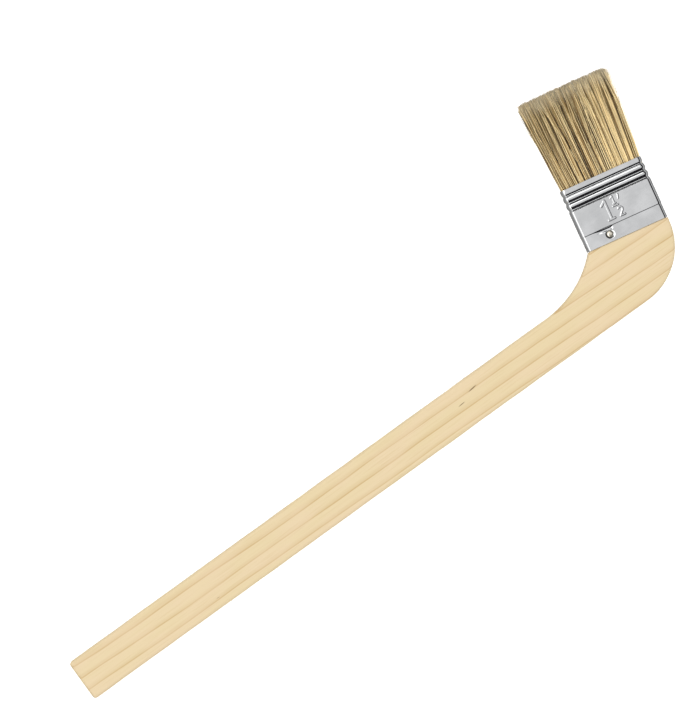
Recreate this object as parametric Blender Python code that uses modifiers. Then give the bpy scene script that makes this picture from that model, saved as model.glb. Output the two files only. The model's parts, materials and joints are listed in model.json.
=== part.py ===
"""Angled flat brush: a bent board handle with a bristle head set across its end.

The brush lies on its back. +X runs along the grip towards the head, the
bristles point towards +Y, and +Z is up. The origin is under the middle of the
whole brush, on the surface that it lies on. Sizes are in metres.
"""

from math import atan2, cos, pi, radians, sin, sqrt

import bmesh
import bpy
from mathutils import Matrix, Vector

GAP = 0.0003  # left between pieces that touch

# Handle: a flat board, its straight grip and its bent end in one plane
GRIP_WIDTH = 0.0194
BOARD_THICKNESS = 0.0096
BOARD_ROUNDING = 0.0014
CROOK_RADIUS = 0.0470  # the hollow curve from the grip up to the ferrule
HEEL_RADIUS = 0.0287  # the full curve on the outside of the bend
TONGUE_LENGTH = 0.0140  # the part of the board inside the ferrule
TONGUE_ROOT = 0.0040  # how far the tongue's own solid reaches down into the board

# Head: its own X lies across the bristles and its own Y along them
HEAD_PLACE = Vector((0.3088, 0.0189))  # ferrule's lower edge, from the grip's end
HEAD_TURN = radians(-11.5)

# Ferrule: a sleeve of thin sheet, size 1 1/2 inch
FERRULE_WIDTH = 0.0381
FERRULE_DEPTH = 0.0104
FERRULE_HEIGHT = 0.0291
FERRULE_CORNER = 0.0018
SHEET = 0.0004
BEAD_HEIGHT = 0.0005
PANEL_HEIGHT = 0.00015
BEADS_BELOW_MOUTH = (0.0044, 0.0077)
BEAD_PITCH = 0.0033
BEAD_STEPS = 6
PANEL_BELOW_MOUTH = (0.0100, 0.0224)

# Nails: one through each wide wall, low down, on opposite sides of the middle
NAIL_ACROSS = 0.0069
NAIL_UP = 0.0034
NAIL_SHANK_RADIUS = 0.0006
NAIL_HEAD_RADIUS = 0.0015
NAIL_HEAD_HEIGHT = 0.00035
NAIL_HEAD_LIFT = 0.00015
NAIL_LENGTH = 0.0060
NAIL_DOME = 0.75  # the flat top of the head, as a part of its radius

# Inside the ferrule, above the tongue
SETTING_THICKNESS = 0.0036
FILLER_WIDTH = 0.0340
FILLER_THICKNESS = 0.0016

# Bristles that stand out of the ferrule
BRISTLE_LENGTH = 0.0428
BRISTLE_WIDTH_AT_MOUTH = 0.0370
BRISTLE_WIDTH_AT_TIPS = 0.0426
BRISTLE_DEPTH_AT_TIPS = 0.0098
FLEX_RADIUS = 0.0043  # the rounded foot on which the bristles bend

MIDDLE_Z = FERRULE_DEPTH / 2 + BEAD_HEIGHT  # the brush lies on its beads
INNER_WIDTH = FERRULE_WIDTH - 2 * (SHEET + GAP)
INNER_DEPTH = FERRULE_DEPTH - 2 * (SHEET + GAP)
INNER_CORNER = FERRULE_CORNER - SHEET - GAP
FLEX_UP = FERRULE_HEIGHT + GAP + FLEX_RADIUS
TIPS_UP = FERRULE_HEIGHT + BRISTLE_LENGTH
ARC_STEP = radians(6)
SMOOTH_BELOW = radians(35)
CORNER_STEP = radians(22.5)  # on the small corners of the sleeve and of what is inside it


def clear_scene():
    for obj in list(bpy.data.objects):
        bpy.data.objects.remove(obj)


def new_collection(name):
    collection = bpy.data.collections.new(name)
    bpy.context.scene.collection.children.link(collection)
    return collection


def new_material(name, color, roughness, metallic=0.0):
    material = bpy.data.materials.new(name)
    material.use_nodes = True
    shader = material.node_tree.nodes["Principled BSDF"]
    shader.inputs["Base Color"].default_value = (*color, 1)
    shader.inputs["Roughness"].default_value = roughness
    shader.inputs["Metallic"].default_value = metallic
    return material


def add(name, data, collection, parent, material=None, location=(0, 0, 0)):
    """Links a new object under its parent empty."""
    obj = bpy.data.objects.new(name, data)
    collection.objects.link(obj)
    obj.parent = parent
    obj.location = location
    if material:
        data.materials.append(material)
    return obj


def add_empty(name, collection, parent, location, turn=0.0):
    empty = add(name, None, collection, parent, location=location)
    empty.empty_display_size = 0.01
    empty.rotation_euler.z = turn
    return empty


def add_cutter(name, data, collection, parent, location):
    cutter = add(name, data, collection, parent, location=location)
    cutter.hide_render = True
    cutter.display_type = "WIRE"
    return cutter


def add_boolean(obj, operation, other):
    modifier = obj.modifiers.new(other.name, "BOOLEAN")
    modifier.operation = operation
    modifier.object = other


def arc(centre, radius, start, end, step=ARC_STEP):
    """Points from one angle to another, with both ends."""
    steps = max(2, round(abs(end - start) / step))
    angles = (start + (end - start) * i / steps for i in range(steps + 1))
    return [centre + radius * Vector((cos(a), sin(a))) for a in angles]


def rounded_rectangle(width, height, corner):
    """Outline about the origin, counter-clockwise."""
    points = []
    for quarter, (side_x, side_y) in enumerate(((1, 1), (-1, 1), (-1, -1), (1, -1))):
        centre = Vector((side_x * (width / 2 - corner), side_y * (height / 2 - corner)))
        points += arc(centre, corner, quarter * pi / 2, (quarter + 1) * pi / 2, CORNER_STEP)
    return points


def outline_curve(name, points):
    """A closed flat curve through the points."""
    curve = bpy.data.curves.new(name, "CURVE")
    curve.dimensions = "2D"
    spline = curve.splines.new("POLY")
    spline.points.add(len(points) - 1)
    for point, place in zip(spline.points, points):
        point.co = (*place, 0, 1)
    spline.use_cyclic_u = True
    return curve


def mesh_of(curve):
    """The curve's surface as a closed mesh; the curve is used up."""
    obj = bpy.data.objects.new(curve.name, curve)
    bpy.context.scene.collection.objects.link(obj)
    graph = bpy.context.evaluated_depsgraph_get()
    mesh = bpy.data.meshes.new_from_object(obj.evaluated_get(graph))
    mesh.name = curve.name
    bpy.data.objects.remove(obj)
    shape = bmesh.new()
    shape.from_mesh(mesh)
    bmesh.ops.remove_doubles(shape, verts=shape.verts, dist=1e-6)
    bmesh.ops.recalc_face_normals(shape, faces=shape.faces)
    shape.to_mesh(mesh)
    shape.free()
    mesh.set_sharp_from_angle(angle=SMOOTH_BELOW)
    return mesh


def plate(name, points, thickness, rounding=0.0):
    """A mesh of the filled outline, half its thickness on each side of it."""
    curve = outline_curve(name, points)
    curve.fill_mode = "BOTH"
    curve.extrude = thickness / 2 - rounding
    curve.bevel_depth = rounding
    curve.bevel_resolution = 2
    curve.offset = -rounding
    return mesh_of(curve)


def turned(mesh, axis, angle):
    mesh.transform(Matrix.Rotation(angle, 4, axis))
    return mesh


def block(name, low, high, corner):
    """A bar with rounded long edges, running along Y from low to high."""
    size = Vector(high) - Vector(low)
    mesh = plate(name, rounded_rectangle(size.x, size.z, corner), size.y)
    turned(mesh, "X", pi / 2)
    mesh.transform(Matrix.Translation((Vector(low) + Vector(high)) / 2))
    return mesh


def cylinder(name, radius, low, high, sides=20):
    """A bar along Z."""
    shape = bmesh.new()
    bmesh.ops.create_cone(
        shape, cap_ends=True, segments=sides, radius1=radius, radius2=radius, depth=high - low
    )
    bmesh.ops.translate(shape, verts=shape.verts, vec=(0, 0, (low + high) / 2))
    mesh = bpy.data.meshes.new(name)
    shape.to_mesh(mesh)
    shape.free()
    return mesh


def from_head(across, up):
    """A point of the head, seen from the grip's end."""
    return HEAD_PLACE + Matrix.Rotation(HEAD_TURN, 2) @ Vector((across, up))


def arc_from_edge(edge_y, radius, corner):
    """A curve that leaves a straight edge of the grip smoothly and ends at a corner of the head."""
    centre_y = edge_y + radius
    centre_x = corner.x - sqrt(radius**2 - (corner.y - centre_y) ** 2)
    centre = Vector((centre_x, centre_y))
    return arc(centre, radius, -pi / 2, atan2(corner.y - centre_y, corner.x - centre_x))


def board_outline():
    half = GRIP_WIDTH / 2
    heel_corner = from_head(FERRULE_WIDTH / 2, -GAP)
    crook_corner = from_head(-FERRULE_WIDTH / 2, -GAP)
    heel = arc_from_edge(-half, HEEL_RADIUS, heel_corner)
    crook = arc_from_edge(half, CROOK_RADIUS, crook_corner)
    return [Vector((0, -half)), *heel, *reversed(crook), Vector((0, half))]


def make_handle(parts, cutters, grip_end, head, nail_holes):
    """The board with its tongue, and a hole for each nail."""
    mesh = plate("handle", board_outline(), BOARD_THICKNESS, BOARD_ROUNDING)
    pine = new_material("pine", (0.84, 0.69, 0.44), 0.6)
    handle = add("handle", mesh, parts, grip_end, pine, (0, 0, MIDDLE_Z))
    low = (-INNER_WIDTH / 2, -TONGUE_ROOT, -INNER_DEPTH / 2)
    high = (INNER_WIDTH / 2, TONGUE_LENGTH, INNER_DEPTH / 2)
    tongue_mesh = block("tongue", low, high, INNER_CORNER)
    tongue = add_cutter("tongue", tongue_mesh, cutters, head, (0, 0, MIDDLE_Z))
    add_boolean(handle, "UNION", tongue)
    for hole in nail_holes:
        add_boolean(handle, "DIFFERENCE", hole)


def ferrule_wall():
    """Section of the wall as (outward, up) points, with the beads and the raised panel."""
    outer = [(0, 0)]
    panel_top, panel_foot = (FERRULE_HEIGHT - below for below in PANEL_BELOW_MOUTH)
    outer += [(0, panel_foot - SHEET), (PANEL_HEIGHT, panel_foot)]
    outer += [(PANEL_HEIGHT, panel_top - SHEET), (0, panel_top)]
    for below in reversed(BEADS_BELOW_MOUTH):
        middle = FERRULE_HEIGHT - below
        for i in range(1, BEAD_STEPS):
            along = i / BEAD_STEPS
            outer.append((BEAD_HEIGHT * sin(pi * along), middle + BEAD_PITCH * (along - 0.5)))
        outer.append((0, middle + BEAD_PITCH / 2))
    outer.append((0, FERRULE_HEIGHT))
    inner = [(out - SHEET, up) for out, up in reversed(outer)]
    # A swept section has its own X on the inner side of the path.
    return [Vector((-out, up)) for out, up in outer + inner]


def make_ferrule(parts, head, nail_holes):
    """The wall's section swept round the sleeve's outline."""
    section = bpy.data.objects.new("wall_section", outline_curve("wall_section", ferrule_wall()))
    bpy.context.scene.collection.objects.link(section)
    outline = rounded_rectangle(FERRULE_WIDTH, FERRULE_DEPTH, FERRULE_CORNER)
    path = outline_curve("ferrule", outline)
    path.bevel_mode = "OBJECT"
    path.bevel_object = section
    path.fill_mode = "NONE"
    mesh = turned(mesh_of(path), "X", -pi / 2)
    bpy.data.objects.remove(section)
    tin = new_material("tinplate", (0.78, 0.79, 0.80), 0.25, 1.0)
    ferrule = add("ferrule", mesh, parts, head, tin, (0, 0, MIDDLE_Z))
    for hole in nail_holes:
        add_boolean(ferrule, "DIFFERENCE", hole)


def make_nail_hole(name, cutters, place):
    """A round cutter for one nail, running in from outside the ferrule."""
    wall = FERRULE_DEPTH / 2
    mesh = cylinder(name, NAIL_SHANK_RADIUS + GAP, wall - NAIL_LENGTH - GAP, wall + SHEET)
    return add_cutter(name, mesh, cutters, place, (0, 0, 0))


def make_nail(name, parts, place, steel):
    """A wire nail turned from its profile, its low domed head just off the wall."""
    wall = FERRULE_DEPTH / 2
    seat = wall + NAIL_HEAD_LIFT
    top = seat + NAIL_HEAD_HEIGHT
    tip = wall - NAIL_LENGTH
    shoulder = (NAIL_HEAD_RADIUS * NAIL_DOME, seat + NAIL_HEAD_HEIGHT * NAIL_DOME)
    profile = [(0, top), shoulder, (NAIL_HEAD_RADIUS, seat), (NAIL_SHANK_RADIUS, seat)]
    profile += [(NAIL_SHANK_RADIUS, tip + 2 * NAIL_SHANK_RADIUS), (0, tip)]
    mesh = bpy.data.meshes.new(name)
    edges = [(i, i + 1) for i in range(len(profile) - 1)]
    mesh.from_pydata([(out, 0, up) for out, up in profile], edges, [])
    nail = add(name, mesh, parts, place, steel)
    screw = nail.modifiers.new("turn", "SCREW")
    screw.steps = screw.render_steps = 20
    screw.use_merge_vertices = True
    screw.merge_threshold = 1e-6


def make_nails(parts, cutters, head):
    """Both nails, each on an empty in the middle of the sleeve that faces its wall; returns the holes."""
    steel = new_material("nail_steel", (0.70, 0.68, 0.62), 0.3, 1.0)
    holes = []
    for name, across, tilt in (("front", -NAIL_ACROSS, 0), ("back", NAIL_ACROSS, pi)):
        place = add_empty(f"nail_place_{name}", parts, head, (across, NAIL_UP, MIDDLE_Z))
        place.rotation_euler.x = tilt
        make_nail(f"ferrule_nail_{name}", parts, place, steel)
        holes.append(make_nail_hole(f"nail_hole_{name}", cutters, place))
    return holes


def make_filling(parts, head):
    """What the ferrule holds above the tongue: the glue, the strip between the rows, and the roots."""
    resin = new_material("resin", (0.35, 0.22, 0.10), 0.35)
    card = new_material("card", (0.62, 0.50, 0.34), 0.8)
    hair = new_material("hair_roots", (0.45, 0.33, 0.17), 0.7)
    at = (0, 0, MIDDLE_Z)
    half_width = INNER_WIDTH / 2
    half_depth = INNER_DEPTH / 2
    setting_low = TONGUE_LENGTH + GAP
    setting_high = setting_low + SETTING_THICKNESS
    low = (-half_width, setting_low, -half_depth)
    high = (half_width, setting_high, half_depth)
    add("glue_setting", block("glue_setting", low, high, INNER_CORNER), parts, head, resin, at)
    roots_low = setting_high + GAP
    strip = FILLER_THICKNESS / 2
    low = (-FILLER_WIDTH / 2, roots_low, -strip)
    high = (FILLER_WIDTH / 2, FERRULE_HEIGHT - 2 * GAP, strip)
    add("filler_strip", block("filler_strip", low, high, GAP), parts, head, card, at)
    inner_side = strip + GAP
    corner = min(INNER_CORNER, (half_depth - inner_side) / 3)
    for name, sides in (("front", (inner_side, half_depth)), ("back", (-half_depth, -inner_side))):
        low = (-half_width, roots_low, sides[0])
        high = (half_width, FERRULE_HEIGHT, sides[1])
        mesh = block(f"bristle_roots_{name}", low, high, corner)
        add(f"bristle_roots_{name}", mesh, parts, head, hair, at)


def row_profile():
    """Side view of one row from its hinge, as (along, out): a quarter-round foot, then a plain wedge."""
    foot = arc(Vector((0, 0)), FLEX_RADIUS, pi, pi / 2, CORNER_STEP)
    foot = [Vector((point.x, max(point.y, GAP / 2))) for point in foot]
    tip = TIPS_UP - FLEX_UP
    return foot + [Vector((tip, BRISTLE_DEPTH_AT_TIPS / 2)), Vector((tip, GAP / 2))]


def make_bristles(parts, hinge):
    """Both free rows, wider at the tips, with their origins on the axis that they bend about."""
    hair = new_material("hair", (0.56, 0.42, 0.22), 0.6)
    grow = (BRISTLE_WIDTH_AT_TIPS / BRISTLE_WIDTH_AT_MOUTH - 1) / BRISTLE_LENGTH
    above_mouth = FLEX_UP - FERRULE_HEIGHT
    for name, side in (("front", 1), ("back", -1)):
        mesh = plate(f"bristles_{name}", row_profile(), BRISTLE_WIDTH_AT_MOUTH)
        for vertex in mesh.vertices:
            along, out, across = vertex.co
            wider = 1 + grow * (along + above_mouth)
            vertex.co = (across * wider, along, out * side)
        if side < 0:
            mesh.flip_normals()
        add(f"bristles_{name}", mesh, parts, hinge, hair)


clear_scene()
parts = new_collection("angled_brush")
cutters = new_collection("cutters")
tip_right = from_head(BRISTLE_WIDTH_AT_TIPS / 2, TIPS_UP)
tip_left = from_head(-BRISTLE_WIDTH_AT_TIPS / 2, TIPS_UP)
middle = Vector((tip_right.x / 2, (tip_left.y - GRIP_WIDTH / 2) / 2, 0))
grip_end = add_empty("grip_end", parts, None, -middle)
head = add_empty("head", parts, grip_end, (*HEAD_PLACE, 0), HEAD_TURN)
bristle_hinge = add_empty("bristle_hinge", parts, head, (0, FLEX_UP, MIDDLE_Z))
nail_holes = make_nails(parts, cutters, head)
make_handle(parts, cutters, grip_end, head, nail_holes)
make_ferrule(parts, head, nail_holes)
make_filling(parts, head)
make_bristles(parts, bristle_hinge)
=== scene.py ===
"""Looks of the angled flat brush: a pine board handle, a tinplate ferrule and a head of hog bristle.

The brush lies on its back on a pale floor. +X runs along the grip towards the
head, the bristles point towards +Y and +Z is up. Sizes are in metres.
"""

import json
from math import atan2, cos, exp, hypot, pi, radians, sin, sqrt

import bmesh
import bpy
from mathutils import Matrix, Vector, noise


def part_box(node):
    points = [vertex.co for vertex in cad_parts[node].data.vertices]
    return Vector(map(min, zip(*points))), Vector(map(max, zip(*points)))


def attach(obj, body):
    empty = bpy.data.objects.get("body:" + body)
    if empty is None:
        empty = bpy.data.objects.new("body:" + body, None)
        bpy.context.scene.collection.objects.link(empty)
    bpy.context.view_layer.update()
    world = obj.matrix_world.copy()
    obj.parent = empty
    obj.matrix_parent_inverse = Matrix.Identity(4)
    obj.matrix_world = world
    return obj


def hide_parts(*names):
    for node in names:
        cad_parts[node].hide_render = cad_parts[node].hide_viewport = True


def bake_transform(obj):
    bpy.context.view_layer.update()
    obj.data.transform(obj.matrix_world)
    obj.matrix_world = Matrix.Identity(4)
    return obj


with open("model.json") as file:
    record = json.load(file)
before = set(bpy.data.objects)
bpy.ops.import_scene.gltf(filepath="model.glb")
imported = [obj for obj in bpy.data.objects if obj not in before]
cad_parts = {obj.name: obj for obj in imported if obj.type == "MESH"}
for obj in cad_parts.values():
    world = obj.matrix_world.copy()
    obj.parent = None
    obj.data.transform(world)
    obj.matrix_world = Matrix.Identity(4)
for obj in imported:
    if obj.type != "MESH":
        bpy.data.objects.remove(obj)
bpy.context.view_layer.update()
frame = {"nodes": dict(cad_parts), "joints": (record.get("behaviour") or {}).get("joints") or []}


# The frame. The bristles bend on one axis, which lies across the head; the
# bristles themselves run square to it. Everything on the head is placed in
# these two directions, from the middle of the ferrule's lower edge.
hinge = next(joint for joint in frame["joints"] if joint["name"] == "bristle_flex")
ACROSS = Vector(hinge["axis"]).normalized()
UP = Vector((0, 0, 1))
ALONG = UP.cross(ACROSS)


def reach(node, direction, base=Vector((0, 0, 0))):
    """How far a node's solid reaches along a direction from a base point: lowest, highest."""
    shares = [(vertex.co - base).dot(direction) for vertex in frame["nodes"][node].data.vertices]
    return min(shares), max(shares)


MIDDLE_Z = hinge["pos_m"][2]
hinge_point = Vector(hinge["pos_m"])
ferrule_foot = reach("ferrule", ALONG, hinge_point)[0]
HEAD = hinge_point + ALONG * ferrule_foot
MOUTH = reach("ferrule", ALONG, HEAD)[1]
TIPS = reach("bristles_front", ALONG, HEAD)[1]


def on_head(across, along, up=0.0):
    """A point of the head, measured from the middle of the ferrule's lower edge."""
    return HEAD + ACROSS * across + ALONG * along + UP * up


# Camera and studio. The brush is looked at from straight above through a long
# lens, on a white floor in a light tent. Shiny parts mirror a softbox straight
# above, three light strips, the black cards between them and a grey low part.
CAMERA_LENS = 300.0
VIEW_HEIGHT = 0.3082
CAMERA_ROLL = radians(-35.8)
VIEW_MIDDLE = Vector((0.0044, 0.0094, MIDDLE_Z))

camera = bpy.data.cameras.new("camera")
camera.lens = CAMERA_LENS
camera.sensor_width = 36.0
camera.clip_end = 20.0
camera_object = bpy.data.objects.new("camera", camera)
camera_object.location = VIEW_MIDDLE + UP * (VIEW_HEIGHT * CAMERA_LENS / camera.sensor_width)
camera_object.rotation_euler.z = CAMERA_ROLL
bpy.context.scene.collection.objects.link(camera_object)
bpy.context.scene.camera = camera_object
bpy.context.scene.view_settings.view_transform = "Standard"


class Signal:
    """One output socket of a node. Arithmetic on it adds Math nodes to the same tree."""

    def __init__(self, socket):
        self.socket = socket
        self.tree = socket.id_data

    def output(self, name):
        return Signal(self.socket.node.outputs[name])

    def math(self, operation, *values):
        return add_node(self.tree, "ShaderNodeMath", {"operation": operation}, dict(enumerate(values)))

    def __add__(self, other):
        return self.math("ADD", self, other)

    __radd__ = __add__

    def __mul__(self, other):
        return self.math("MULTIPLY", self, other)

    __rmul__ = __mul__

    def __sub__(self, other):
        return self.math("SUBTRACT", self, other)

    def __rsub__(self, other):
        return self.math("SUBTRACT", other, self)

    def __truediv__(self, other):
        return self.math("DIVIDE", self, other)

    def __pow__(self, other):
        return self.math("POWER", self, other)

    def __abs__(self):
        return self.math("ABSOLUTE", self)

    def ramp(self, low, high):
        """0 below low, 1 above high, smooth between; low may be the larger."""
        span = {"interpolation_type": "SMOOTHSTEP"}
        return add_node(self.tree, "ShaderNodeMapRange", span, {0: self, 1: low, 2: high})


def add_node(tree, kind, settings=None, sockets=None, output=0):
    """Adds a node, sets it up, then fills its sockets with values or links."""
    node = tree.nodes.new(kind)
    for name, value in (settings or {}).items():
        setattr(node, name, value)
    for key, value in (sockets or {}).items():
        if isinstance(value, Signal):
            tree.links.new(value.socket, node.inputs[key])
        else:
            node.inputs[key].default_value = value
    return Signal(node.outputs[output])


def mix_colors(mask, first, second):
    """The first colour where the mask is 0, the second where it is 1."""
    tree = next(value.tree for value in (mask, first, second) if isinstance(value, Signal))
    colors = [value if isinstance(value, Signal) else (*value, 1) for value in (first, second)]
    return add_node(tree, "ShaderNodeMix", {"data_type": "RGBA"}, {0: mask, 6: colors[0], 7: colors[1]}, 2)


def object_place(tree):
    """Where a point lies on the piece, in metres."""
    return add_node(tree, "ShaderNodeTexCoord", output="Object")


def stretched(place, scale, turn=0.0):
    """The place turned about Z and scaled on each axis, for a pattern that runs one way."""
    settings = {0: place, "Rotation": (0, 0, turn), "Scale": scale}
    return add_node(place.tree, "ShaderNodeMapping", sockets=settings)


def cloud(place, scale, detail):
    """Soft noise over a place, about 0.5 on average."""
    settings = {"Vector": place, "Scale": scale, "Detail": detail}
    return add_node(place.tree, "ShaderNodeTexNoise", sockets=settings)


def bumped(height, strength, depth):
    settings = {"Strength": strength, "Distance": depth, "Height": height}
    return add_node(height.tree, "ShaderNodeBump", sockets=settings)


def new_material(name, **fixed):
    """A material, its tree and its Principled shader, with the sockets that stay the same set."""
    material = bpy.data.materials.new(name)
    material.use_nodes = True
    tree = material.node_tree
    shader = tree.nodes["Principled BSDF"]
    for socket, value in fixed.items():
        shader.inputs[socket.replace("_", " ")].default_value = value
    return material, tree, shader


def feed(shader, **signals):
    """Links signals to the Principled shader's sockets."""
    for socket, signal in signals.items():
        signal.tree.links.new(signal.socket, shader.inputs[socket.replace("_", " ")])


def new_piece(name, mesh, material):
    piece = bpy.data.objects.new(name, mesh)
    bpy.context.scene.collection.objects.link(piece)
    mesh.materials.clear()
    mesh.materials.append(material)
    return piece


WHITE = (1.0, 1.0, 1.0)
BLACK_CARD = (0.008, 0.008, 0.010)
SOFTBOX = (0.95, 0.95, 0.955)
GREY_LOW = (0.50, 0.50, 0.51)
KEY_STRIP = (2.4, 2.4, 2.38)
LEFT_STRIP = (2.0, 2.0, 1.98)
LOW_STRIP = (1.1, 1.1, 1.1)
TENT_LOW = (0.62, 0.62, 0.63)
TENT_TOP = (1.62, 1.62, 1.60)

world = bpy.data.worlds.new("studio")
world.use_nodes = True
bpy.context.scene.world = world
sky = world.node_tree
ray = add_node(sky, "ShaderNodeTexCoord", output="Generated")
height = add_node(sky, "ShaderNodeSeparateXYZ", sockets={0: ray}).output("Z")


def toward(direction):
    """How far a ray into the tent points in a level direction."""
    settings = {"operation": "DOT_PRODUCT"}
    return add_node(sky, "ShaderNodeVectorMath", settings, {0: ray, 1: direction}, "Value")


# Height runs from 0 at the horizon to 1 straight above. The metal's flat faces
# mirror the top, and the steeper a slope is, the lower it looks.
cards = mix_colors(height.ramp(0.86, 0.94), BLACK_CARD, SOFTBOX)
key_strip = height.ramp(0.74, 0.80) * height.ramp(0.93, 0.89) * toward((-0.5, 0.87, 0)).ramp(0.22, 0.34)
cards = mix_colors(key_strip, cards, KEY_STRIP)
left_strip = toward((-0.98, 0.20, 0)).ramp(0.40, 0.52) * height.ramp(0.48, 0.54) * height.ramp(0.92, 0.86)
cards = mix_colors(left_strip, cards, LEFT_STRIP)
cards = mix_colors(height.ramp(0.52, 0.44), cards, GREY_LOW)
low_strip = height.ramp(0.20, 0.25) * height.ramp(0.38, 0.33)
cards = mix_colors(low_strip, cards, LOW_STRIP)
tent = mix_colors(height.ramp(0.1, 0.95), TENT_LOW, TENT_TOP)
path = add_node(sky, "ShaderNodeLightPath")
light = mix_colors(path.output("Is Glossy Ray"), tent, cards)
light = mix_colors(path.output("Is Camera Ray"), light, WHITE)
sky.links.new(light.socket, sky.nodes["Background"].inputs["Color"])
sky.nodes["Background"].inputs["Strength"].default_value = 1.0


def area_light(name, place, size, watts):
    """A soft square light that faces the brush."""
    lamp = bpy.data.lights.new(name, "AREA")
    lamp.size = size
    lamp.energy = watts
    light_object = bpy.data.objects.new(name, lamp)
    light_object.location = place
    light_object.rotation_mode = "QUATERNION"
    light_object.rotation_quaternion = (Vector(place) - VIEW_MIDDLE).to_track_quat("Z", "Y")
    bpy.context.scene.collection.objects.link(light_object)


area_light("key", place=(-0.5, 0.7, 1.2), size=0.8, watts=2.5)

FLOOR_SIZE = 12.0
FLOOR_GLOW = 0.45
FLOOR_PALE = (0.9, 0.9, 0.9)
FLOOR_REFLECTION_SHADE = (0.28, 0.28, 0.28)
UNLIT = (0.0, 0.0, 0.0)
floor_material, tree, shader = new_material(
    "floor_white", Roughness=0.8, Specular_IOR_Level=0.0, Emission_Strength=FLOOR_GLOW
)
path = add_node(tree, "ShaderNodeLightPath")
glow = mix_colors(path.output("Is Camera Ray"), UNLIT, WHITE)
# Painted reflection: rays mirrored off the metal see the floor as dark grey instead of pale, so the metal's
# steep edges show painted shade.
floor_shaded_in_reflections = mix_colors(path.output("Is Glossy Ray"), FLOOR_PALE, FLOOR_REFLECTION_SHADE)
feed(shader, Base_Color=floor_shaded_in_reflections, Emission_Color=glow)
floor_shape = bmesh.new()
bmesh.ops.create_grid(floor_shape, x_segments=1, y_segments=1, size=FLOOR_SIZE / 2)
floor_mesh = bpy.data.meshes.new("floor")
floor_shape.to_mesh(floor_mesh)
floor_shape.free()
new_piece("floor", floor_mesh, floor_material)


# Handle. One flat pine board, sawn to its bent outline, with its edges sanded
# round. Its upper end is cut back to a tongue that fills the ferrule's lower half.
GRIP_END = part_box("handle")[0].x
GRIP_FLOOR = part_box("handle")[0].y
GRIP_WIDTH = 0.0194
CROOK_RADIUS = 0.0470
HEEL_RADIUS = 0.0287
SHOULDER_GAP = 0.0003
BOARD_HALF = (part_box("handle")[1].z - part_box("handle")[0].z) / 2
FERRULE_HALF_WIDTH = 0.01905
TONGUE_HALF_WIDTH = 0.01835
TONGUE_HALF = 0.0045
TONGUE_TOP = 0.0140
EDGE_ROUNDING = 0.0014
STATION = 0.0012
ROUND_STEPS = 5
FACE_STEPS = 8
PLAIN_SHARE = 0.97
SAW_WANDER = 0.00012
SAW_WAVES = 90
SAW_SEED = 7
TONGUE_CHAMFER = 0.0006
TONGUE_ROUNDING = 0.001
BOARD_SHARP_DEGREES = 40


def bend_arc(edge_y, radius, corner):
    """Centre and end angle of the curve that leaves a straight edge and ends at a corner."""
    centre_y = edge_y + radius
    centre_x = corner.x - sqrt(radius**2 - (corner.y - centre_y) ** 2)
    return Vector((centre_x, centre_y)), atan2(corner.y - centre_y, corner.x - centre_x)


class Edge:
    """One long edge of the board: a straight run, then the curve up to the ferrule's corner."""

    def __init__(self, edge_y, radius, corner):
        self.edge_y = edge_y
        self.radius = radius
        self.centre, end_angle = bend_arc(edge_y, radius, corner)
        self.straight = self.centre.x - GRIP_END
        self.length = self.straight + radius * (end_angle + pi / 2)

    def at(self, distance):
        """The point that far along the edge from the grip's end."""
        if distance <= self.straight:
            return Vector((GRIP_END + distance, self.edge_y))
        angle = -pi / 2 + (distance - self.straight) / self.radius
        return self.centre + self.radius * Vector((cos(angle), sin(angle)))


def rounded_section(half_width, half_height, corner):
    """Outline of the board's section, counter-clockwise, with points along its wide faces too."""
    points = []
    for quarter, (side_x, side_y) in enumerate(((1, 1), (-1, 1), (-1, -1), (1, -1))):
        centre = Vector((side_x * (half_width - corner), side_y * (half_height - corner)))
        for i in range(ROUND_STEPS + 1):
            angle = (quarter + i / ROUND_STEPS) * pi / 2
            points.append(centre + corner * Vector((cos(angle), sin(angle))))
        if quarter in (0, 2):
            start = points[-1]
            run = -side_x * 2 * (half_width - corner)
            for i in range(1, FACE_STEPS):
                points.append(Vector((start.x + run * i / FACE_STEPS, start.y)))
    return points


def join_rings(shape, rings):
    """Faces between rings of vertices that follow each other."""
    for lower, upper in zip(rings, rings[1:]):
        for i in range(len(lower)):
            j = (i + 1) % len(lower)
            shape.faces.new((lower[i], lower[j], upper[j], upper[i]))


def finished_mesh(shape, name, sharp_degrees, *placings):
    """The shape as a mesh: faces outward, put in place, and smooth but for its sharp edges."""
    bmesh.ops.recalc_face_normals(shape, faces=shape.faces)
    mesh = bpy.data.meshes.new(name)
    shape.to_mesh(mesh)
    shape.free()
    for placing in placings:
        mesh.transform(placing)
    mesh.shade_smooth()
    mesh.set_sharp_from_angle(angle=radians(sharp_degrees))
    return mesh


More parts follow.
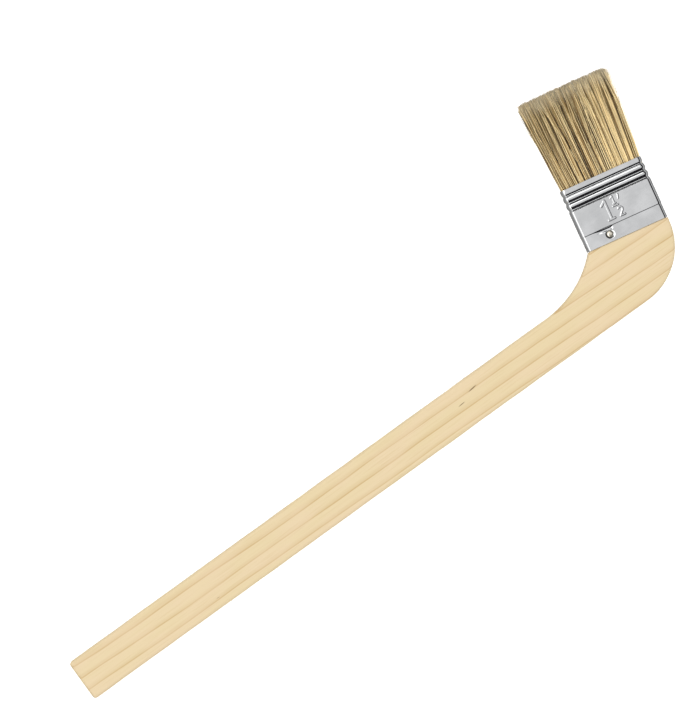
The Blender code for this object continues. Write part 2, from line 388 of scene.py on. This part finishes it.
def board_rings(shape):
    """Rings of the board from the grip's end to the tongue's end."""
    heel = Edge(GRIP_FLOOR, HEEL_RADIUS, on_head(FERRULE_HALF_WIDTH, -SHOULDER_GAP).xy)
    crook = Edge(GRIP_FLOOR + GRIP_WIDTH, CROOK_RADIUS, on_head(-FERRULE_HALF_WIDTH, -SHOULDER_GAP).xy)
    plain = crook.straight * PLAIN_SHARE
    spans = []
    # The grip's sawn end is sanded round like its edges.
    for i in range(ROUND_STEPS):
        angle = i / ROUND_STEPS * pi / 2
        inset = EDGE_ROUNDING * (1 - sin(angle))
        back = EDGE_ROUNDING * (1 - cos(angle))
        spans.append((heel.at(back), crook.at(back), inset))
    steps = round((plain - EDGE_ROUNDING) / STATION)
    for i in range(steps + 1):
        along = EDGE_ROUNDING + (plain - EDGE_ROUNDING) * i / steps
        spans.append((heel.at(along), crook.at(along), 0.0))
    steps = round((heel.length - plain) / STATION)
    for i in range(1, steps + 1):
        share = i / steps
        low = heel.at(plain + (heel.length - plain) * share)
        high = crook.at(plain + (crook.length - plain) * share)
        spans.append((low, high, 0.0))
    rings = []
    for low, high, inset in spans:
        middle, across = (low + high) / 2, (high - low)
        half = across.length / 2
        across.normalize()
        ring = []
        for point in rounded_section(half - inset, BOARD_HALF - inset, EDGE_ROUNDING - inset * 0.8):
            place = Vector((*(middle + across * point.x), MIDDLE_Z - point.y))
            wander = noise.noise_vector(place * SAW_WAVES) * SAW_WANDER
            place += Vector((across.x, across.y, 0)) * wander.x + UP * wander.z * 0.4
            ring.append(shape.verts.new(place))
        rings.append(ring)
    for along, inset in ((-SHOULDER_GAP, 0), (TONGUE_TOP - TONGUE_CHAMFER, 0), (TONGUE_TOP, TONGUE_CHAMFER)):
        section = rounded_section(TONGUE_HALF_WIDTH - inset, TONGUE_HALF - inset, TONGUE_ROUNDING)
        rings.append([shape.verts.new(on_head(-point.x, along, -point.y)) for point in section])
    return rings


# Without a seed this noise starts from the clock, and the board differs from run to run.
noise.seed_set(SAW_SEED)
board = bmesh.new()
rings = board_rings(board)
join_rings(board, rings)
board.faces.new(list(reversed(rings[0])))
board.faces.new(rings[-1])
handle_mesh = finished_mesh(board, "pine_handle", BOARD_SHARP_DEGREES)

RING_SPACING = 0.0047
RING_WANDER = 1.3
PITH = (0.0, -0.045, -0.075)
PITH_TILT = 0.02
SPRINGWOOD = (0.610, 0.496, 0.300)
LATEWOOD = (0.455, 0.300, 0.125)
PINK_PATCH = (0.64, 0.495, 0.340)
FIBRE_SHADE = (0.52, 0.385, 0.205)
FLECK = (0.10, 0.055, 0.022)
SAW_MARK = (0.16, 0.10, 0.05)

pine, tree, shader = new_material("pine", Specular_IOR_Level=0.35)
place = object_place(tree)
drift = cloud(stretched(place, (5, 45, 45)), 1.0, 4.0)
from_pith = add_node(
    tree, "ShaderNodeMapping", sockets={0: place, "Location": PITH, "Rotation": (0, 0, PITH_TILT)}
)
axes = add_node(tree, "ShaderNodeSeparateXYZ", sockets={0: from_pith})
radius = (axes.output("Y") ** 2 + axes.output("Z") ** 2) ** 0.5
rings_count = radius / RING_SPACING + drift * RING_WANDER
ring = rings_count.math("FRACT", rings_count)
latewood = (ring.ramp(0.55, 0.93) * 0.35 + ring.ramp(0.88, 0.96) * 0.65) * ring.ramp(1.0, 0.97)
fibre = cloud(stretched(place, (60, 2400, 2400)), 1.0, 3.0)
mottle = cloud(stretched(place, (40, 160, 160)), 1.0, 2.0)
color = mix_colors(latewood * 0.85, SPRINGWOOD, LATEWOOD)
color = mix_colors(mottle.ramp(0.35, 0.7) * 0.4, color, PINK_PATCH)
color = mix_colors(fibre.ramp(0.5, 0.75) * 0.4, color, FIBRE_SHADE)

# Small dark flecks: distance from the grip's end, distance off its middle
# line, half length and turn in degrees.
GRIP_MIDDLE = GRIP_FLOOR + GRIP_WIDTH / 2
FLECKS = ((0.2140, 0.0040, 0.0026, 8), (0.2063, 0.0011, 0.0020, 4), (0.0700, -0.0052, 0.0009, -3))
FLECK_ASPECT = 9.0
for from_end, off_middle, half_length, turn in FLECKS:
    middle = Vector((GRIP_END + from_end, GRIP_MIDDLE + off_middle, BOARD_HALF * 2))
    turned = add_node(tree, "ShaderNodeMapping", {"vector_type": "TEXTURE"}, {
        0: place, "Location": middle, "Rotation": (0, 0, radians(turn)),
        "Scale": (half_length, half_length / FLECK_ASPECT, BOARD_HALF)})
    away = add_node(tree, "ShaderNodeVectorMath", {"operation": "LENGTH"}, {0: turned}, "Value")
    color = mix_colors((away + fibre * 0.4).ramp(1.25, 0.75) * 0.8, color, FLECK)
along_grip = add_node(tree, "ShaderNodeSeparateXYZ", sockets={0: place}).output("X")
sawn_end = along_grip.ramp(GRIP_END + 0.0012, GRIP_END + 0.0002)
color = mix_colors(sawn_end * fibre.ramp(0.45, 0.7) * 0.6, color, SAW_MARK)
grain_height = fibre + latewood * 0.3
feed(shader, Base_Color=color, Roughness=0.5 + fibre * 0.2, Normal=bumped(grain_height, 0.25, 0.0001))

handle = new_piece("pine_handle", handle_mesh, pine)
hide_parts("handle")
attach(handle, "handle_and_ferrule")


# Ferrule. A strip of bright tinplate bent round the tongue and the bristle roots,
# with its ends lapped on a narrow side. Two ribs are rolled in below the lip, a
# flat panel below them carries the stamped size, and the foot steps in.
FERRULE_HALF_DEPTH = 0.0052
FERRULE_CORNER = 0.0017
TINPLATE = 0.0003
INNER_WALL = TINPLATE * 1.6
METAL_SHARP_DEGREES = 50
FINE_STEP = 0.00011
FACE_STEP = 0.00040
ROW_STEP = 0.00020
STAMP_SIDES = (-0.0085, 0.0055)
STAMP_FOOT = 0.0082
BACK_STEP = 0.0008
CORNER_STEPS = 7
SIDE_STEPS = 10
INNER_ROWS = 18
RIBS = (0.0045, 0.0077)
RIB_HALF = 0.00098
RIB_RISE = 0.00024
LIP_WIDTH = 0.0023
LIP_RISE = 0.00012
GROOVES = (0.0028, 0.0061, 0.0094)
GROOVE_HALF = 0.00068
GROOVE_DEPTH = 0.00030
PANEL = (0.0104, 0.0223)
PANEL_RISE = 0.00014
STEP_WIDTH = 0.0003
NAIL_PLACE = (-0.0069, 0.0034)
DENT_DEPTH = 0.00040
DIMPLE = (0.0011, 0.0024)
CREASE_DROP = 0.0010
CREASE_SPREAD = 0.0007
CREASE_START = (-0.0165, -0.0075)
CREASE_END = (-0.0058, -0.0042)
STAMP_HEIGHT = 0.00018
STAMP_EDGE = 0.00034

HEAD_FRAME = Matrix((
    (ACROSS.x, ALONG.x, 0, HEAD.x),
    (ACROSS.y, ALONG.y, 0, HEAD.y),
    (0, 0, 1, MIDDLE_Z),
    (0, 0, 0, 1),
))


def smooth(value, low, high):
    """0 at low, 1 at high, smooth between."""
    share = min(1.0, max(0.0, (value - low) / (high - low)))
    return share * share * (3 - 2 * share)


def bulge(value, middle, half):
    """A round-topped hump, 1 at its middle and 0 from half away on."""
    share = abs(value - middle) / half
    return cos(share * pi / 2) if share < 1 else 0.0


def wall_rise(up):
    """How far the wall stands out at a height, from its rolled profile."""
    below = MOUTH - up
    rise = LIP_RISE * bulge(below, LIP_WIDTH * 0.45, LIP_WIDTH * 0.50)
    rise += sum(RIB_RISE * bulge(below, rib, RIB_HALF) for rib in RIBS)
    rise -= sum(GROOVE_DEPTH * max(0.0, 1 - abs(below - groove) / GROOVE_HALF) for groove in GROOVES)
    panel = smooth(below, PANEL[0] - STEP_WIDTH, PANEL[0])
    panel *= 1 - smooth(below, PANEL[1], PANEL[1] + STEP_WIDTH)
    return rise + PANEL_RISE * panel


def to_stroke(across, up, start, end):
    """Distance from a point to a straight stroke."""
    run = (end[0] - start[0], end[1] - start[1])
    length = run[0] ** 2 + run[1] ** 2
    share = ((across - start[0]) * run[0] + (up - start[1]) * run[1]) / length
    share = min(1.0, max(0.0, share))
    return hypot(across - start[0] - run[0] * share, up - start[1] - run[1] * share)


def numeral_one(middle, foot, tall):
    """Strokes of a plain 1 with a flag and a foot."""
    head = (middle, foot + tall)
    flag = (middle - tall * 0.24, foot + tall * 0.80)
    serif = tall * 0.16
    return [((middle, foot), head), (head, flag), ((middle - serif, foot), (middle + serif, foot))]


def numeral_two(middle, foot, tall):
    """Strokes of a plain 2: a round top that runs down into a straight foot."""
    bow = tall * 0.27
    top = foot + tall - bow
    turns = [radians(150 - 200 * i / 7) for i in range(8)]
    points = [(middle + bow * cos(turn), top + bow * sin(turn)) for turn in turns]
    points += [(middle - bow, foot), (middle + bow * 1.15, foot)]
    return list(zip(points, points[1:]))


# The stamped size, one and a half inches: strokes with their half width. Places
# are across and up from the middle of the ferrule's lower edge.
STAMPED = [(stroke, 0.00030) for stroke in numeral_one(-0.0035, 0.0090, 0.0086)]
STAMPED += [(stroke, 0.00012) for stroke in numeral_one(0.0003, 0.0148, 0.0034)]
STAMPED += [(((-0.0009, 0.0138), (0.0016, 0.0138)), 0.00012)]
STAMPED += [(stroke, 0.00016) for stroke in numeral_two(0.0016, 0.0088, 0.0037)]
STAMPED += [(((0.0026, 0.0162), (0.0031, 0.0180)), 0.00010)]


def stamp_rise(across, up):
    """How far the stamped size stands out of the front face."""
    rise = 0.0
    for (start, end), half in STAMPED:
        away = to_stroke(across, up, start, end) - half
        rise = max(rise, STAMP_HEIGHT * (1 - smooth(away, 0, STAMP_EDGE)))
    return rise


def nail_dent(across, up):
    """How far a face is pressed in round its nail: a dimple and a crease beside it."""
    from_nail = hypot(across - NAIL_PLACE[0], up - NAIL_PLACE[1])
    dimple = DENT_DEPTH * (1 - smooth(from_nail, *DIMPLE))
    crease_height = MOUTH - PANEL[1] - CREASE_DROP
    crease = DENT_DEPTH * exp(-(((up - crease_height) / CREASE_SPREAD) ** 2))
    crease *= smooth(across, *CREASE_START) * (1 - smooth(across, *CREASE_END))
    return max(dimple, crease)


def sleeve_outline():
    """Round the sleeve as (across, height, outward direction), from the front face's right end."""
    flat = FERRULE_HALF_WIDTH - FERRULE_CORNER
    rise = FERRULE_HALF_DEPTH - FERRULE_CORNER
    outline = []

    def straight(start, end, step, normal, joined=False):
        count = max(2, round((Vector(end) - Vector(start)).length / step))
        for i in range(1, count + joined):
            outline.append((Vector(start).lerp(Vector(end), i / count), Vector(normal)))

    def corner(centre, first):
        for i in range(CORNER_STEPS + 1):
            angle = first + pi / 2 * i / CORNER_STEPS
            normal = Vector((cos(angle), sin(angle)))
            outline.append((Vector(centre) + FERRULE_CORNER * normal, normal))

    side_step = 2 * rise / SIDE_STEPS
    corner((flat, rise), 0)
    stops = (flat, STAMP_SIDES[1], STAMP_SIDES[0], -flat)
    for start, end, step in zip(stops, stops[1:], (FACE_STEP, FINE_STEP, FACE_STEP)):
        straight((start, FERRULE_HALF_DEPTH), (end, FERRULE_HALF_DEPTH), step, (0, 1), end != -flat)
    corner((-flat, rise), pi / 2)
    straight((-FERRULE_HALF_WIDTH, rise), (-FERRULE_HALF_WIDTH, -rise), side_step, (-1, 0))
    corner((-flat, -rise), pi)
    straight((-flat, -FERRULE_HALF_DEPTH), (flat, -FERRULE_HALF_DEPTH), BACK_STEP, (0, -1))
    corner((flat, -rise), pi * 1.5)
    straight((FERRULE_HALF_WIDTH, -rise), (FERRULE_HALF_WIDTH, rise), side_step, (1, 0))
    return outline


def lap_rise(point, normal):
    """The outer end of the strip stands a sheet's thickness above the inner end, just past the lap."""
    if normal.x > -0.5:
        return 0.0
    return TINPLATE * smooth(point.y, -0.0009, -0.0007) * (1 - smooth(point.y, 0.0, 0.0040))


def wall_heights():
    """Heights of the wall's rows of points, closer together from the stamped size up to the mouth."""
    heights = [0.0]
    while heights[-1] < MOUTH - FINE_STEP:
        fine = heights[-1] > STAMP_FOOT
        heights.append(heights[-1] + (FINE_STEP if fine else ROW_STEP))
    return heights[:-1] + [MOUTH]


def make_ferrule():
    """The sleeve: up its outer wall, over the mouth, down its inner wall and back to the start."""
    outline = sleeve_outline()
    shape = bmesh.new()
    rings = []
    for up in wall_heights():
        ring = []
        for point, normal in outline:
            out = wall_rise(up) + lap_rise(point, normal)
            if normal.y > 0.9:
                out += stamp_rise(point.x, up) - nail_dent(point.x, up)
            if normal.y < -0.9:
                out -= nail_dent(-point.x, up)
            place = point + normal * out
            ring.append(shape.verts.new((place.x, up, place.y)))
        rings.append(ring)
    for row in range(INNER_ROWS, -1, -1):
        up = MOUTH * row / INNER_ROWS
        ring = []
        for point, normal in outline:
            place = point + normal * (min(wall_rise(up), PANEL_RISE) - INNER_WALL)
            ring.append(shape.verts.new((place.x, up, place.y)))
        rings.append(ring)
    join_rings(shape, rings + [rings[0]])
    return finished_mesh(shape, "tinplate_ferrule", METAL_SHARP_DEGREES, HEAD_FRAME)


HEAD_TURN = radians(11.5)

tinplate, tree, shader = new_material("tinplate", Metallic=1.0)
place = object_place(tree)
haze = cloud(place, 110.0, 3.0)
rolled = cloud(stretched(place, (60, 2600, 400), HEAD_TURN), 1.0, 2.0)
color = mix_colors(haze.ramp(0.3, 0.7), (0.56, 0.565, 0.57), (0.66, 0.665, 0.67))
color = mix_colors(rolled.ramp(0.45, 0.8) * 0.2, color, (0.50, 0.505, 0.52))
feed(shader, Base_Color=color, Roughness=0.06 + haze * 0.10, Normal=bumped(rolled, 0.08, 0.0001))

ferrule = new_piece("tinplate_ferrule", make_ferrule(), tinplate)
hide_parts("ferrule")
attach(ferrule, "handle_and_ferrule")


# Ferrule nails. Short wire nails with low domed heads, driven through the foot
# of the ferrule into the tongue, one from each wide side.
NAIL_HEAD = 0.00145
NAIL_DOME = 0.00055
NAIL_SHANK = 0.0006
NAIL_LENGTH = 0.0060
NAIL_SINK = 0.00030
NAIL_SIDES = 40
DOME_STEPS = 8
DOME_FULLNESS = 0.8
HEAD_THICKNESS = 0.0001
POINT_LENGTH = 0.001


def nail_profile():
    """Half section from the dome's top to the point, as (out, up) from the ferrule's face."""
    points = [(0.0, NAIL_DOME - NAIL_SINK)]
    for i in range(1, DOME_STEPS + 1):
        angle = radians(90 - 90 / DOME_STEPS * i)
        points.append((NAIL_HEAD * cos(angle) ** DOME_FULLNESS, NAIL_DOME * sin(angle) - NAIL_SINK))
    underside = -NAIL_SINK - HEAD_THICKNESS
    points += [(NAIL_HEAD, underside), (NAIL_SHANK, underside)]
    return points + [(NAIL_SHANK, POINT_LENGTH - NAIL_LENGTH), (0.0, -NAIL_LENGTH)]


def make_nail(name, across, facing):
    """A nail turned from its profile, through the front face (facing 1) or the back face (-1)."""
    shape = bmesh.new()
    profile = nail_profile()
    corners = [shape.verts.new((out, 0, up + FERRULE_HALF_DEPTH)) for out, up in profile]
    edges = [shape.edges.new(pair) for pair in zip(corners, corners[1:])]
    bmesh.ops.spin(
        shape, geom=corners + edges, axis=(0, 0, 1), cent=(0, 0, 0), steps=NAIL_SIDES, angle=2 * pi
    )
    bmesh.ops.remove_doubles(shape, verts=shape.verts, dist=1e-7)
    placings = [Matrix.Translation((across, NAIL_PLACE[1], 0)), HEAD_FRAME]
    if facing < 0:
        placings.insert(0, Matrix.Rotation(pi, 4, "Y"))
    return finished_mesh(shape, name, METAL_SHARP_DEGREES, *placings)


nail_steel, tree, shader = new_material("nail_steel", Metallic=1.0)
scuff = cloud(object_place(tree), 900.0, 3.0)
color = mix_colors(scuff.ramp(0.35, 0.7), (0.78, 0.74, 0.64), (0.52, 0.47, 0.38))
feed(shader, Base_Color=color, Roughness=0.15 + scuff * 0.2, Normal=bumped(scuff, 0.3, 0.0001))

for side, across, facing in (("front", NAIL_PLACE[0], 1), ("back", -NAIL_PLACE[0], -1)):
    nail = new_piece(f"wire_nail_{side}", make_nail(f"wire_nail_{side}", across, facing), nail_steel)
    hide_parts(f"ferrule_nail_{side}")
    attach(nail, "handle_and_ferrule")


# Setting and filler. Cured resin holds the root ends of the bristles, and a thin
# strip of brown card parts the two rows; both are hidden inside the ferrule.
resin, tree, shader = new_material("cured_resin", Coat_Weight=0.3)
streaks = cloud(object_place(tree), 300.0, 4.0)
color = mix_colors(streaks.ramp(0.3, 0.7), (0.20, 0.10, 0.035), (0.42, 0.25, 0.09))
feed(shader, Base_Color=color, Roughness=0.2 + streaks * 0.25, Normal=bumped(streaks, 0.3, 0.0003))
frame["nodes"]["glue_setting"].material_slots[0].material = resin

card, tree, shader = new_material("filler_card")
pulp = cloud(object_place(tree), 1500.0, 5.0)
color = mix_colors(pulp.ramp(0.35, 0.65), (0.34, 0.25, 0.15), (0.48, 0.37, 0.24))
feed(shader, Base_Color=color, Roughness=0.75 + pulp * 0.2, Normal=bumped(pulp, 0.4, 0.0002))
frame["nodes"]["filler_strip"].material_slots[0].material = card


# Bristles. Two rows of hog hair, thousands of tapered hairs each, set in the
# ferrule and a little flared. The hairs gather in tufts towards their tips, and a
# few stray ones cross the rest. The head's sprung axis, read from the model, only
# sets the directions the rows are placed in.
HAIRS_PER_ROW = 4400
HAIR_POINTS = 8
HAIR_RADIUS = 0.00014
ROOT_DEPTH = 0.0050
ROW_HALF_WIDTH = 0.0183
ROW_LOW = 0.0001
ROW_HIGH = 0.0043
FLARE = 0.151
TUFT_SIZE = 0.0013
TUFT_ASPECT = 1.3
GATHER = 0.40
STRAY_RANGE = (0.972, 0.988)
STRAY_SWING = 0.0050
LEAN_SWING = 0.0006
DRIFT_SWING = 0.0035
SWELL = 0.55
TIP_SWELL = 0.06
WAVE_SWING = 0.0006
STRAY_LIFT = 0.0007
DRIFT_WAVES = (260.0, 1.6, 400.0)
STRAND_WAVES = (5200.0, 2200.0)
SHORTER_BY = {"dip": 0.05, "tuft": 0.020, "strand": 0.035, "edge": 0.018}
BEND_SHARE = 0.6


def new_input(tree, kind, name):
    return tree.interface.new_socket(name=name, in_out="INPUT", socket_type=kind).identifier


def combine(tree, x, y, z):
    return add_node(tree, "ShaderNodeCombineXYZ", sockets={0: x, 1: y, 2: z})


def random_between(tree, low, high, seed):
    """One number for each hair."""
    sockets = {2: low, 3: high, "Seed": seed}
    return add_node(tree, "FunctionNodeRandomValue", sockets=sockets, output=1)


def captured(geometry, value, kind="FLOAT"):
    """The geometry with a value kept on its points, and that value as a signal."""
    node = geometry.tree.nodes.new("GeometryNodeCaptureAttribute")
    node.capture_items.new(kind, "kept")
    geometry.tree.links.new(geometry.socket, node.inputs[0])
    geometry.tree.links.new(value.socket, node.inputs[1])
    return Signal(node.outputs[0]), Signal(node.outputs[1])


def hair_row_tree():
    """Grows one row of hairs: X across the head, Y along the hairs, Z up."""
    tree = bpy.data.node_groups.new("hair_row", "GeometryNodeTree")
    inputs = {}
    for name in ("Half width", "Low", "High", "Root", "Length", "Hair radius", "Flare", "Tuft size"):
        inputs[name] = new_input(tree, "NodeSocketFloat", name)
    inputs["Count"] = new_input(tree, "NodeSocketInt", "Count")
    inputs["Seed"] = new_input(tree, "NodeSocketInt", "Seed")
    inputs["Material"] = new_input(tree, "NodeSocketMaterial", "Material")
    tree.interface.new_socket(name="Geometry", in_out="OUTPUT", socket_type="NodeSocketGeometry")
    given = add_node(tree, "NodeGroupInput")
    half_width, low, high, length = (given.output(n) for n in ("Half width", "Low", "High", "Length"))
    seed = given.output("Seed")

    # Roots, scattered over the row's share of the mouth.
    across = random_between(tree, -1.0, 1.0, seed) * half_width
    level = random_between(tree, 0.0, 1.0, seed + 1) * (high - low) + low
    points = add_node(tree, "GeometryNodePoints", sockets={
        "Count": given.output("Count"), "Position": combine(tree, across, 0.0, level)})
    root = add_node(tree, "GeometryNodeInputPosition")
    points, root = captured(points, root, "VECTOR")
    points, shade = captured(points, random_between(tree, 0.0, 1.0, seed + 2))
    points, lean = captured(points, random_between(tree, -1.0, 1.0, seed + 3))
    points, dip = captured(points, random_between(tree, 0.0, 1.0, seed + 4))
    points, stray = captured(points, random_between(tree, 0.0, 1.0, seed + 5))

    # A tuft is a cell of a pattern over the roots; its hairs lean towards its middle.
    tuft_size = given.output("Tuft size")
    cell_size = combine(tree, tuft_size, 1.0, tuft_size * TUFT_ASPECT)
    cell_map = add_node(tree, "ShaderNodeVectorMath", {"operation": "DIVIDE"}, {0: root, 1: cell_size})
    cell = add_node(tree, "ShaderNodeTexVoronoi", {"feature": "F1"}, {"Vector": cell_map, "Scale": 1.0})
    cell_middle = add_node(
        tree, "ShaderNodeVectorMath", {"operation": "MULTIPLY"}, {0: cell.output("Position"), 1: cell_size}
    )
    tuft = add_node(tree, "ShaderNodeSeparateXYZ", sockets={0: cell.output("Color")})
    points, tuft = captured(points, tuft)
    points, middle = captured(points, cell_middle, "VECTOR")

    # Each hair is a short line of points, put in place one by one.
    line = add_node(tree, "GeometryNodeCurvePrimitiveLine", sockets={"End": (0, 1, 0)})
    line = add_node(tree, "GeometryNodeResampleCurve", sockets={"Curve": line, "Count": HAIR_POINTS})
    hairs = add_node(tree, "GeometryNodeInstanceOnPoints", sockets={"Points": points, "Instance": line})
    hairs = add_node(tree, "GeometryNodeRealizeInstances", sockets={"Geometry": hairs})
    share = add_node(tree, "GeometryNodeSplineParameter", output="Factor")
    root_axes = add_node(tree, "ShaderNodeSeparateXYZ", sockets={0: root})
    middle_axes = add_node(tree, "ShaderNodeSeparateXYZ", sockets={0: middle})
    root_x, root_z = root_axes.output("X"), root_axes.output("Z")
    gather = share ** 1.5 * GATHER
    wave_x, wave_y, wave_z = DRIFT_WAVES
    drift = cloud(combine(tree, root_x * wave_x, share * wave_y, root_z * wave_z), 1.0, 1.0)
    strays = stray.ramp(*STRAY_RANGE)
    sideways = (drift - 0.5) * share * DRIFT_SWING
    sideways = sideways + lean * share ** 2 * (LEAN_SWING + strays * STRAY_SWING)
    x = root_x * (1 + share * given.output("Flare")) + (middle_axes.output("X") - root_x) * gather + sideways
    swell = 1 + share * (1 - share) * SWELL + share * TIP_SWELL
    wave = dip - 0.5
    outward = root_z / abs(root_z)
    z = root_z * swell + (middle_axes.output("Z") - root_z) * gather * 0.5 + wave * share * WAVE_SWING
    z = z + outward * strays * share * STRAY_LIFT
    strand = cloud(combine(tree, root_x * STRAND_WAVES[0], 0.0, root_z * STRAND_WAVES[1]), 1.0, 0.0)
    edge = (abs(root_x) / half_width).ramp(0.88, 1.0) * SHORTER_BY["edge"]
    trimmed = 1 - dip ** 3 * SHORTER_BY["dip"] - tuft * SHORTER_BY["tuft"]
    trimmed = trimmed - strand.ramp(0.3, 0.7) * SHORTER_BY["strand"] - edge
    y = given.output("Root") + share * length * trimmed
    hairs = add_node(
        tree, "GeometryNodeSetPosition", sockets={"Geometry": hairs, "Position": combine(tree, x, y, z)}
    )
    taper = given.output("Hair radius") * (1.15 - share ** 2 * 0.65) * (0.8 + shade * 0.4)
    # The tone mixes a random share for each hair with streaks across the roots; in the hair material its
    # darkest streaks turn near black, partly as painted shade between tufts.
    tone = shade * 0.42 + strand.ramp(0.36, 0.64) * 0.58
    for name, value in (("shade", tone), ("tuft", tuft), ("along", share)):
        hairs = add_node(tree, "GeometryNodeStoreNamedAttribute", {"data_type": "FLOAT"}, {
            "Geometry": hairs, "Name": name, "Value": value})
    section = add_node(tree, "GeometryNodeCurvePrimitiveCircle", sockets={"Resolution": 3, "Radius": 1.0})
    skins = add_node(
        tree,
        "GeometryNodeCurveToMesh",
        sockets={"Curve": hairs, "Profile Curve": section, "Scale": taper, "Fill Caps": True},
    )
    skins = add_node(tree, "GeometryNodeSetShadeSmooth", sockets={0: skins})
    skins = add_node(tree, "GeometryNodeRealizeInstances", sockets={"Geometry": skins})
    skins = add_node(
        tree, "GeometryNodeSetMaterial", sockets={"Geometry": skins, "Material": given.output("Material")}
    )
    result = tree.nodes.new("NodeGroupOutput")
    tree.links.new(skins.socket, result.inputs[0])
    return tree, inputs


def make_hair_row(name, tree, inputs, **values):
    """Runs the tree once and keeps its result as a plain mesh on the head."""
    grower = bpy.data.objects.new(name, bpy.data.meshes.new(name))
    bpy.context.scene.collection.objects.link(grower)
    modifier = grower.modifiers.new("hair_row", "NODES")
    modifier.node_group = tree
    for label, value in values.items():
        modifier[inputs[label.replace("_", " ")]] = value
    graph = bpy.context.evaluated_depsgraph_get()
    mesh = bpy.data.meshes.new_from_object(grower.evaluated_get(graph))
    bpy.data.objects.remove(grower)
    mesh.name = name
    mesh.transform(HEAD_FRAME)
    return mesh


hog_hair, tree, shader = new_material("hog_hair", Specular_IOR_Level=0.4)
shade, tuft, along = (
    add_node(tree, "ShaderNodeAttribute", {"attribute_name": name}, output="Fac")
    for name in ("shade", "tuft", "along")
)
grime = cloud(object_place(tree), 700.0, 2.0)
color = mix_colors(shade.ramp(0.38, 0.66), (0.33, 0.20, 0.065), (1.0, 0.80, 0.43))
# Partly painted shade: the lowest-toned hairs turn near black in thin streaks. They are dark hairs, and they
# also stand in for the shade in the gaps between tufts.
color = mix_colors(shade.ramp(0.34, 0.25) * 0.97, color, (0.030, 0.014, 0.004))
color = mix_colors(tuft.ramp(0.50, 0.95) * 0.22, color, (0.20, 0.125, 0.045))
color = mix_colors(along.ramp(0.84, 1.0) * 0.50, color, (0.86, 0.76, 0.54))
feed(shader, Base_Color=color, Roughness=0.38 + grime * 0.25)

row_tree, row_inputs = hair_row_tree()
for side, low, high, seed in (("front", ROW_LOW, ROW_HIGH, 11), ("back", -ROW_HIGH, -ROW_LOW, 47)):
    mesh = make_hair_row(
        f"hair_row_{side}", row_tree, row_inputs, Half_width=ROW_HALF_WIDTH, Low=low, High=high,
        Root=MOUTH - ROOT_DEPTH, Length=TIPS - MOUTH + ROOT_DEPTH, Hair_radius=HAIR_RADIUS, Flare=FLARE,
        Tuft_size=TUFT_SIZE, Count=HAIRS_PER_ROW, Seed=seed, Material=hog_hair,
    )
    row = new_piece(f"hair_row_{side}", mesh, hog_hair)
    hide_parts(f"bristles_{side}")
    start = on_head(0, MOUTH)
    end = on_head(0, MOUTH + (TIPS - MOUTH) * BEND_SHARE)
    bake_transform(row)

# The roots of both rows stay packed inside the ferrule, so they are solid blocks
# with the strands drawn on them.
packed_roots, tree, shader = new_material("packed_roots", Roughness=0.6)
root_strand = cloud(stretched(object_place(tree), (2600, 60, 2600), HEAD_TURN), 1.0, 2.0)
color = mix_colors(root_strand.ramp(0.35, 0.65), (0.16, 0.095, 0.032), (0.62, 0.46, 0.23))
feed(shader, Base_Color=color, Normal=bumped(root_strand, 0.5, 0.0002))
for side in ("front", "back"):
    frame["nodes"][f"bristle_roots_{side}"].material_slots[0].material = packed_roots
